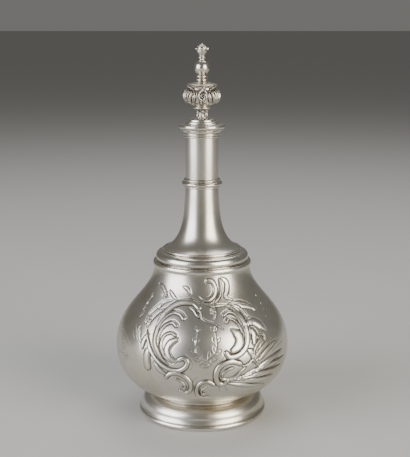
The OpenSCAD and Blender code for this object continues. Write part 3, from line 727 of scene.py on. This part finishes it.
def net_piece(name, net, before=(), after=()):
    """Makes a mesh from a net, with plain rings of (radius, height) in mm before its first and after its last row."""
    skin = net.points + net.relief[:, :, None] * net.normals
    # Painted shade and tarnish: the points below their surroundings and the ink of the tracer lines darken the silver.
    depth = np.clip(0.6 * hollows(net.relief) + net.ink, 0, 1)
    plain = lambda rings: [np.stack([max(r, 0.01) * np.sin(net.angle), -max(r, 0.01) * np.cos(net.angle),
                                     h + 0 * net.angle], axis=1) for r, h in rings]
    layers = plain(before) + list(skin) + plain(after)
    depths = [0 * net.angle] * len(before) + list(depth) + [0 * net.angle] * len(after)
    vertices = np.concatenate(layers) * MM
    n = net.around
    first = np.arange(len(layers) - 1)[:, None] * n
    k = np.arange(n)[None, :]
    faces = np.stack([first + k, first + (k + 1) % n, first + n + (k + 1) % n, first + n + k],
        axis=2).reshape(-1, 4)
    mesh = bpy.data.meshes.new(name)
    mesh.from_pydata(vertices.tolist(), [], faces.tolist())
    mesh.attributes.new("hollow", "FLOAT", "POINT").data.foreach_set("value",
        np.concatenate(depths).astype(np.float32))
    piece = bpy.data.objects.new(name, mesh)
    bpy.context.collection.objects.link(piece)
    return piece


inside = [(30.7, 100.35), (29.8, 100.35), (29.8, 99.0)]
inside += [(r - 0.9, h) for r, h in curve((30.7, 98.0), (32.8, 79.9), (56.4, 72.5), (56.4, 46.5), 24)]
inside += [(r - 0.9, h + 0.9) for r, h in curve((56.4, 46.0), (56.4, 26.4), (41.3, 17.0), (33.0, 17.0), 16)]
belly = net_piece("belly_chased", belly_net, before=[(0, 17.0), (32.0, 17.0)], after=inside + [(0, 17.9)])
finish_piece(belly, "vessel", ["belly"], polished_silver)

# %% [markdown]
# ## The shoulder: wire, collar and bead
# Where belly and neck meet, three rings lie on each other. A half-round wire strengthens the belly's mouth. Above it
# sits the collar that screws off, a full ovolo, and a fine bead marks the foot of the neck. A narrow dark line between
# wire and collar is the joint that opens for filling. The collar's inside thread stays the measured one: the new piece
# is only its smooth outer skin, set a hair outside it.

# %% Shoulder wire, collar and neck bead
wire_low, wire_high, wire_out = heights("shoulder_wire")
shoulder_outline = bead(30.76, wire_low, wire_high, wire_out - 30.76)
finish_piece(turned("shoulder_wire_round", shoulder_outline, 200), "vessel", ["shoulder_wire"],
    turned_silver)

collar_low, collar_high, _ = heights("neck_collar")
collar_skin = (
    [(28.0, collar_low + 0.02), (29.45, collar_low + 0.02)]
    + curve((29.5, collar_low + 0.65), (30.56, collar_low + 2.2), (29.95, collar_high - 0.35),
        (25.9, collar_high - 0.17), 26)
    + [(25.3, collar_high + 0.01), (24.0, collar_high + 0.01), (24.0, collar_high - 0.2),
        (25.0, collar_high - 0.3)]
    + curve((25.8, collar_high - 0.3), (29.8, collar_high - 0.5), (30.3, collar_low + 2.2),
        (29.3, collar_low + 0.8), 20)
    + [(28.0, collar_low + 0.3)]
)
finish_piece(turned("collar_skin", collar_skin, 200), "neck", [], turned_silver)
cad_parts["neck_collar"].data.materials.clear()
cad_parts["neck_collar"].data.materials.append(turned_silver)

bead_low, bead_high, bead_out = heights("neck_base_wire")
finish_piece(turned("neck_bead", bead(24.45, bead_low, bead_high, bead_out - 24.45), 200), "neck",
    ["neck_base_wire"],
             turned_silver)

# %% [markdown]
# ## The neck
# The neck is raised from sheet and seamed: a trumpet that sweeps in to a straight tube. A moulded ring hides the joint
# half-way up, where the pierced rose sits inside. The mouth has its own moulding, a cavetto that flares out under the
# stopper's flange over two fine beads. All of these are outlines swept round the axis; the tubes are hollow, because
# the stopper can be pulled out.

# %% Neck, neck ring and mouth
neck_low, neck_high, _ = heights("lower_neck")
trumpet_outer = [(24.4, neck_low)] + curve((24.4, neck_low + 1.1), (11.06, neck_low + 7.75),
    (11.81, neck_high - 17.8),
                                           (10.5, neck_high - 1.6), 60) + [(10.5, neck_high)]
trumpet_inner = [(9.6, neck_high)] + curve((9.6, neck_high - 1.6), (10.9, neck_high - 18),
    (10.4, neck_low + 6.6),
                                           (23.4, neck_low + 0.9), 40) + [(23.4, neck_low)]
finish_piece(turned("neck_trumpet", trumpet_outer + trumpet_inner, 200), "neck", ["lower_neck"],
    polished_silver)

tube_low, tube_high, _ = heights("upper_neck")
tube_outline = [(9.6, tube_low), (10.5, tube_low)] + [(10.5,
    tube_low + (tube_high - tube_low) * i / 12) for i in range(1, 12)]
tube_outline += [(10.5, tube_high - 0.1), (10.4, tube_high), (9.75, tube_high), (9.6, tube_high - 0.15)]
finish_piece(turned("neck_tube", tube_outline, 160), "neck", ["upper_neck"], polished_silver)

ring_low, ring_high, ring_out = heights("neck_ring")
ring_outline = (
    [(10.55, ring_low), (11.3, ring_low)]
    + curve((11.5, ring_low + 0.1), (11.75, ring_low + 0.5), (11.7, ring_low + 0.9), (11.4, ring_low + 1.1),
        6)
    + bead(11.4, ring_low + 1.15, ring_low + 4.0, ring_out - 11.4, 20)
    + [(11.2, ring_low + 4.15)]
    + bead(11.05, ring_low + 4.25, ring_low + 5.6, 0.75, 12)
    + [(10.85, ring_high - 0.25), (10.75, ring_high), (10.55, ring_high)]
)
finish_piece(turned("neck_ring_moulded", ring_outline, 160), "neck", ["neck_ring"], turned_silver)

lip_low, lip_high, lip_out = heights("mouth_lip")
lip_outline = (
    [(10.55, lip_low), (11.0, lip_low)]
    + bead(10.95, lip_low + 0.1, lip_low + 1.15, 0.75, 10)
    + [(11.15, lip_low + 1.35)]
    + bead(11.2, lip_low + 1.5, lip_low + 2.9, 0.8, 12)
    + [(11.5, lip_low + 3.05)]
    + curve((11.6, lip_low + 3.2), (11.8, lip_low + 4.1), (12.6, lip_low + 4.7),
        (lip_out - 0.1, lip_low + 4.95), 12)
    + [(lip_out, lip_low + 5.1), (lip_out, lip_high - 0.05), (lip_out - 0.1, lip_high), (10.55, lip_high)]
)
finish_piece(turned("mouth_moulded", lip_outline, 160), "neck", ["mouth_lip"], turned_silver)

# %% [markdown]
# ## The stopper's cap
# The cap is a small stepped dome with a rounded flange that lies on the mouth. Turned in one piece, its steps throw
# thin bright rings. It is hollow and closed by a plate, but nothing of that shows.

# %% Stepped cap
cap_low, cap_high, cap_out = heights("stopper_cap")
cap_outline = (
    [(1.3, cap_high - 1.3), (7.6, cap_high - 2.0), (9.0, cap_high - 4.1), (12.95, cap_low + 0.85),
     (12.95, cap_low)]
    + curve((13.6, cap_low), (cap_out + 0.33, cap_low), (cap_out + 0.33, cap_low + 2.5),
        (13.6, cap_low + 2.5), 18)
    + [(13.3, cap_low + 2.42)]
    + curve((13.2, cap_low + 2.42), (11.9, cap_low + 2.5), (10.9, cap_low + 2.8), (10.5, cap_low + 3.2), 10)
    + curve((10.35, cap_low + 3.3), (10.35, cap_low + 4.3), (10.2, cap_low + 4.45), (9.4, cap_low + 4.5), 10)
    + curve((9.1, cap_low + 4.6), (8.95, cap_low + 4.8), (8.95, cap_low + 5.7), (8.4, cap_low + 6.0), 10)
    + curve((8.0, cap_low + 6.15), (6.6, cap_low + 6.35), (5.0, cap_high - 0.3), (4.03, cap_high), 10)
    + [(1.3, cap_high)]
)
finish_piece(turned("cap_stepped", cap_outline, 160), "stopper", ["stopper_cap"], turned_silver)

# %% [markdown]
# ## The cast finial
# The finial is threaded like beads on the stopper's rod: a leafy stem, a vase with shells and scrolls, a domed cover, a
# ringed collar, a ball, a little spool, and a bud of leaves. Stem and vase are cast and then sharpened with punches, so
# the same strokes shape them as the belly, only finer. The bud is built leaf by leaf, and the plain ones are turned.

# %% Leafy stem
stem_low, stem_high, _ = heights("finial_stem")
stem_outline = (
    curve((3.7, stem_low), (3.8, stem_low + 0.5), (2.8, stem_low + 1.6), (2.75, stem_low + 2.9), 20)
    + curve((2.75, stem_low + 2.9), (2.7, stem_low + 4.2), (3.3, stem_low + 4.9), (4.3, stem_low + 5.3),
        20)[1:]
    + curve((4.6, stem_low + 5.4), (5.75, stem_low + 5.6), (5.75, stem_low + 6.7), (4.7, stem_low + 6.85), 14)
    + [(4.3, stem_low + 6.95), (4.15, stem_high)]
)
stem_net = ChasedNet(stem_outline, 260)
for k in range(5):
    spin = 72 * k + 12
    stroke(stem_net, "leaf", 1.15, 0.75, [(0, stem_low + 0.4), (0, stem_low + 2.6), (0, stem_low + 5.2)], turn=spin, groove=0.12)
    stroke(stem_net, "leaf", 0.7, 0.45, [(36, stem_low + 0.3), (36, stem_low + 1.8), (36, stem_low + 3.8)], turn=spin, groove=0.12)
    stroke(stem_net, "rib", 0.32, 0.4, [(2, stem_low + 2.4), (20, stem_low + 4.0), (33, stem_low + 5.0)],
        turn=spin, groove=0.08)
    stroke(stem_net, "rib", 0.32, 0.4, [(70, stem_low + 2.4), (52, stem_low + 4.0), (39, stem_low + 5.0)],
        turn=spin, groove=0.08)
stem = net_piece("stem_leafy", stem_net, before=[(1.3, stem_low)], after=[(1.3, stem_high)])
finish_piece(stem, "stopper", ["finial_stem"], cast_silver)

# %% [markdown]
# ## The vase
# The vase has three shells with scrolls between them. Each shell is a fan of five lobes under an arching rib that ends
# in a raised tip at the rim. Only one third is described, and it is repeated round the axis.

# %% Vase with shells and scrolls
vase_low, vase_high, _ = heights("finial_vase")
vase_outline = (
    curve((4.4, vase_low), (5.4, vase_low + 0.3), (11.3, vase_low + 2.4), (11.2, vase_low + 6.3), 60)
    + curve((11.2, vase_low + 6.3), (11.1, vase_low + 9.4), (8.2, vase_low + 10.0), (8.9, vase_low + 11.6),
        36)[1:]
    + curve((8.9, vase_low + 11.6), (9.1, vase_low + 12.1), (9.4, vase_low + 12.5), (9.7, vase_high), 8)[1:]
)
vase_net = ChasedNet(vase_outline, 480)
for k in range(3):
    spin = 120 * k
    for lean in (-24, -12, 0, 12, 24):
        fan = [(60 + 0.3 * lean, vase_low + 2.0), (60 + 0.75 * lean, vase_low + 5.2),
        (60 + lean, vase_low + 9.2 - 0.045 * abs(lean))]
        stroke(vase_net, "lobe", 1.15, 0.95, fan, start=0.35, end=0.9, groove=0.25, turn=spin)
    for side in (-1, 1):
        arch = [(60 + side * 4, vase_low + 10.2), (60 - side * 16, vase_low + 10.6),
        (60 - side * 32, vase_low + 9.0),
                (60 - side * 38, vase_low + 6.2), (60 - side * 33, vase_low + 3.6),
                (60 - side * 25, vase_low + 2.4)]
        stroke(vase_net, "rib", 0.6, 0.95, arch, start=0.5, end=0.4, groove=0.2, turn=spin)
    stroke(vase_net, "rib", 0.55, 0.9, [(28, vase_low + 9.6), (40, vase_low + 11.0), (60, vase_low + 12.4)],
        end=0.8,
           groove=0.15, turn=spin)
    stroke(vase_net, "rib", 0.55, 0.9, [(92, vase_low + 9.6), (80, vase_low + 11.0), (60, vase_low + 12.4)],
        end=0.8,
           groove=0.15, turn=spin)
    curl = [(14, vase_low + 8.8), (4, vase_low + 9.8), (-8, vase_low + 8.4), (-8, vase_low + 5.6),
        (3, vase_low + 4.4),
            (9, vase_low + 6.0), (2, vase_low + 7.0)]
    stroke(vase_net, "rib", 0.6, 1.0, curl, start=0.9, end=0.8, groove=0.25, turn=spin)
    stroke(vase_net, "leaf", 0.9, 0.7, [(0, vase_low + 1.0), (-2, vase_low + 2.6), (-8, vase_low + 4.2)], turn=spin)
    stroke(vase_net, "leaf", 0.8, 0.6, [(6, vase_low + 10.6), (12, vase_low + 9.8), (18, vase_low + 7.0)], turn=spin)
vase = net_piece("vase_with_shells", vase_net, before=[(1.3, vase_low), (3.6, vase_low)],
                 after=[(8.8, vase_high), (8.0, vase_high - 1.6)])
finish_piece(vase, "stopper", ["finial_vase"], cast_silver)

# %% [markdown]
# ## Cover, collar, ball and spool
# These are plain turned beads, and a cloth reaches all of them. Only the ball is finished brighter than the castings;
# cover, collar and spool share the castings' finish.

# %% Turned beads of the finial
cover_low, cover_high, cover_out = heights("vase_cover")
cover_outline = ([(1.3, cover_low), (cover_out - 0.1, cover_low)]
                 + curve((cover_out, cover_low + 0.15), (8.9, cover_low + 1.2), (5.4, cover_low + 1.1),
                 (3.5, cover_high), 24)
                 + [(1.3, cover_high)])
finish_piece(turned("cover_domed", cover_outline, 120), "stopper", ["vase_cover"], cast_silver)

knop_low, knop_high, _ = heights("finial_collar")
knop_outline = ([(1.3, knop_low), (2.9, knop_low)] + bead(2.9, knop_low + 0.1, knop_low + 1.7, 0.95,
    14) + [(2.45, knop_low + 1.95)]
                + bead(2.6, knop_low + 2.15, knop_low + 3.8, 1.05, 14) + [(2.3, knop_low + 4.0),
                (2.15, knop_high), (1.3, knop_high)])
finish_piece(turned("knop_ringed", knop_outline, 96), "stopper", ["finial_collar"],
    cast_silver)

ball_low, ball_high, _ = heights("finial_ball")
ball_middle, ball_half = (ball_low + ball_high) / 2, (ball_high - ball_low) / 2
tilt = math.asin(ball_half / 4.8)
ball_outline = [(1.3, ball_low)] + [(4.8 * math.cos(a), ball_middle + 4.8 * math.sin(a))
                                    for a in np.linspace(-tilt, tilt, 40)] + [(1.3, ball_high)]
finish_piece(turned("ball_turned", ball_outline, 96), "stopper", ["finial_ball"], turned_silver)

spool_low, spool_high, _ = heights("finial_spool")
spool_outline = ([(1.3, spool_low), (2.3, spool_low)]
                 + curve((2.3, spool_low + 0.2), (1.7, spool_low + 0.5), (1.55, spool_low + 1.0),
                 (1.6, spool_low + 1.5), 8)
                 + bead(1.8, spool_low + 1.7, spool_low + 2.8, 0.55, 10)
                 + curve((1.6, spool_low + 3.0), (1.6, spool_low + 3.5), (1.7, spool_low + 3.9),
                 (2.1, spool_high), 8) + [(1.3, spool_high)])
finish_piece(turned("spool_turned", spool_outline, 72), "stopper", ["finial_spool"],
    cast_silver)

# %% [markdown]
# ## The bud
# The bud is a small flower that opens: a cup, a ring of leaves that curl outwards, a ring that stands up, and a berry
# on top. A leaf is a strip of points that follows a bent middle line, wide in the middle, cupped across, and thick as
# cast metal is.

# %% Bud of leaves
bud_low, bud_high, _ = heights("finial_bud")
bud_cup = turned("bud_of_leaves", [(1.3, bud_low), (2.0, bud_low), (2.45, bud_low + 1.1), (2.5,
    bud_low + 2.0), (2.1, bud_low + 3.6),
                                   (1.6, bud_low + 4.6), (0, bud_low + 4.9)], 48)


def metal_leaf(name, middle, half_width, cup, thick, spin):
    """A leaf along a bent middle line of (radius, height) in mm, turned round the axis by spin degrees."""
    steps, across = 14, 8
    line = smooth_path(middle, 6)
    line = line[np.linspace(0, len(line) - 1, steps + 1).astype(int)]
    outward = np.gradient(line, axis=0)
    outward /= np.linalg.norm(outward, axis=1)[:, None]
    vertices = []
    for side in (0.5, -0.5):
        for i, (radius, height) in enumerate(line):
            t = i / steps
            width = half_width * (math.sin(math.pi * (0.12 + 0.88 * t) ** 0.9) ** 0.8 if t < 1 else 0.05)
            for j in range(across + 1):
                u = 2 * j / across - 1
                lift = side * thick + cup * (u * u - 0.5) - 0.14 * math.exp(-(u / 0.25) ** 2) * (side > 0)
                r = radius + lift * outward[i][1]
                vertices.append((r * MM, u * width * MM, (height - lift * outward[i][0]) * MM))
    n = across + 1
    total = (steps + 1) * n
    faces = [(i * n + j, i * n + j + 1, (i + 1) * n + j + 1,
        (i + 1) * n + j) for i in range(steps) for j in range(across)]
    faces += [tuple(total + k for k in reversed(f)) for f in faces]
    rim = [j for j in range(n)] + [i * n + across for i in range(1, steps + 1)]
    rim += [steps * n + j for j in range(across - 1, -1, -1)] + [i * n for i in range(steps - 1, 0, -1)]
    faces += [(rim[k], rim[(k + 1) % len(rim)], total + rim[(k + 1) % len(rim)],
        total + rim[k]) for k in range(len(rim))]
    mesh = bpy.data.meshes.new(name)
    mesh.from_pydata(vertices, [], faces)
    leaf = bpy.data.objects.new(name, mesh)
    leaf.rotation_euler = (0, 0, math.radians(spin))
    bpy.context.collection.objects.link(leaf)
    return leaf


parts = [bud_cup]
for k in range(5):
    open_line = [(1.9, bud_low + 0.4), (2.7, bud_low + 1.6), (3.2, bud_low + 2.9), (4.2, bud_low + 3.4)]
    parts.append(metal_leaf(f"open_leaf_{k}", open_line, 1.25, -0.35, 0.35, 72 * k - 14))
    upright_line = [(2.0, bud_low + 1.6), (2.5, bud_low + 3.0), (2.3, bud_low + 4.4), (2.8, bud_low + 5.2)]
    parts.append(metal_leaf(f"upright_leaf_{k}", upright_line, 1.0, -0.3, 0.35, 72 * k + 22))
for k in range(7):
    radius, height = (0.0, bud_high - 0.85) if k == 6 else (0.95, bud_low + 5.0)
    middle = Vector((radius * math.cos(k * math.pi / 3), radius * math.sin(k * math.pi / 3), height)) * MM
    shape = bmesh.new()
    bmesh.ops.create_icosphere(shape, subdivisions=3, radius=0.82 * MM)
    for vertex in shape.verts:
        grain = 1 + 0.08 * math.sin(9 * vertex.co.x / MM + 5 * k) * math.sin(9 * vertex.co.z / MM)
        vertex.co = vertex.co * grain + middle
    mesh = bpy.data.meshes.new(f"berry_{k}")
    shape.to_mesh(mesh)
    shape.free()
    berry = bpy.data.objects.new(f"berry_{k}", mesh)
    bpy.context.collection.objects.link(berry)
    parts.append(berry)

bpy.context.view_layer.update()
joined = bmesh.new()
for part in parts:
    copy = part.data.copy()
    copy.transform(part.matrix_world)
    joined.from_mesh(copy)
    bpy.data.meshes.remove(copy)
bmesh.ops.recalc_face_normals(joined, faces=joined.faces)
joined.to_mesh(bud_cup.data)
joined.free()
for part in parts[1:]:
    bpy.data.objects.remove(part)
finish_piece(bud_cup, "stopper", ["finial_bud"], cast_silver)
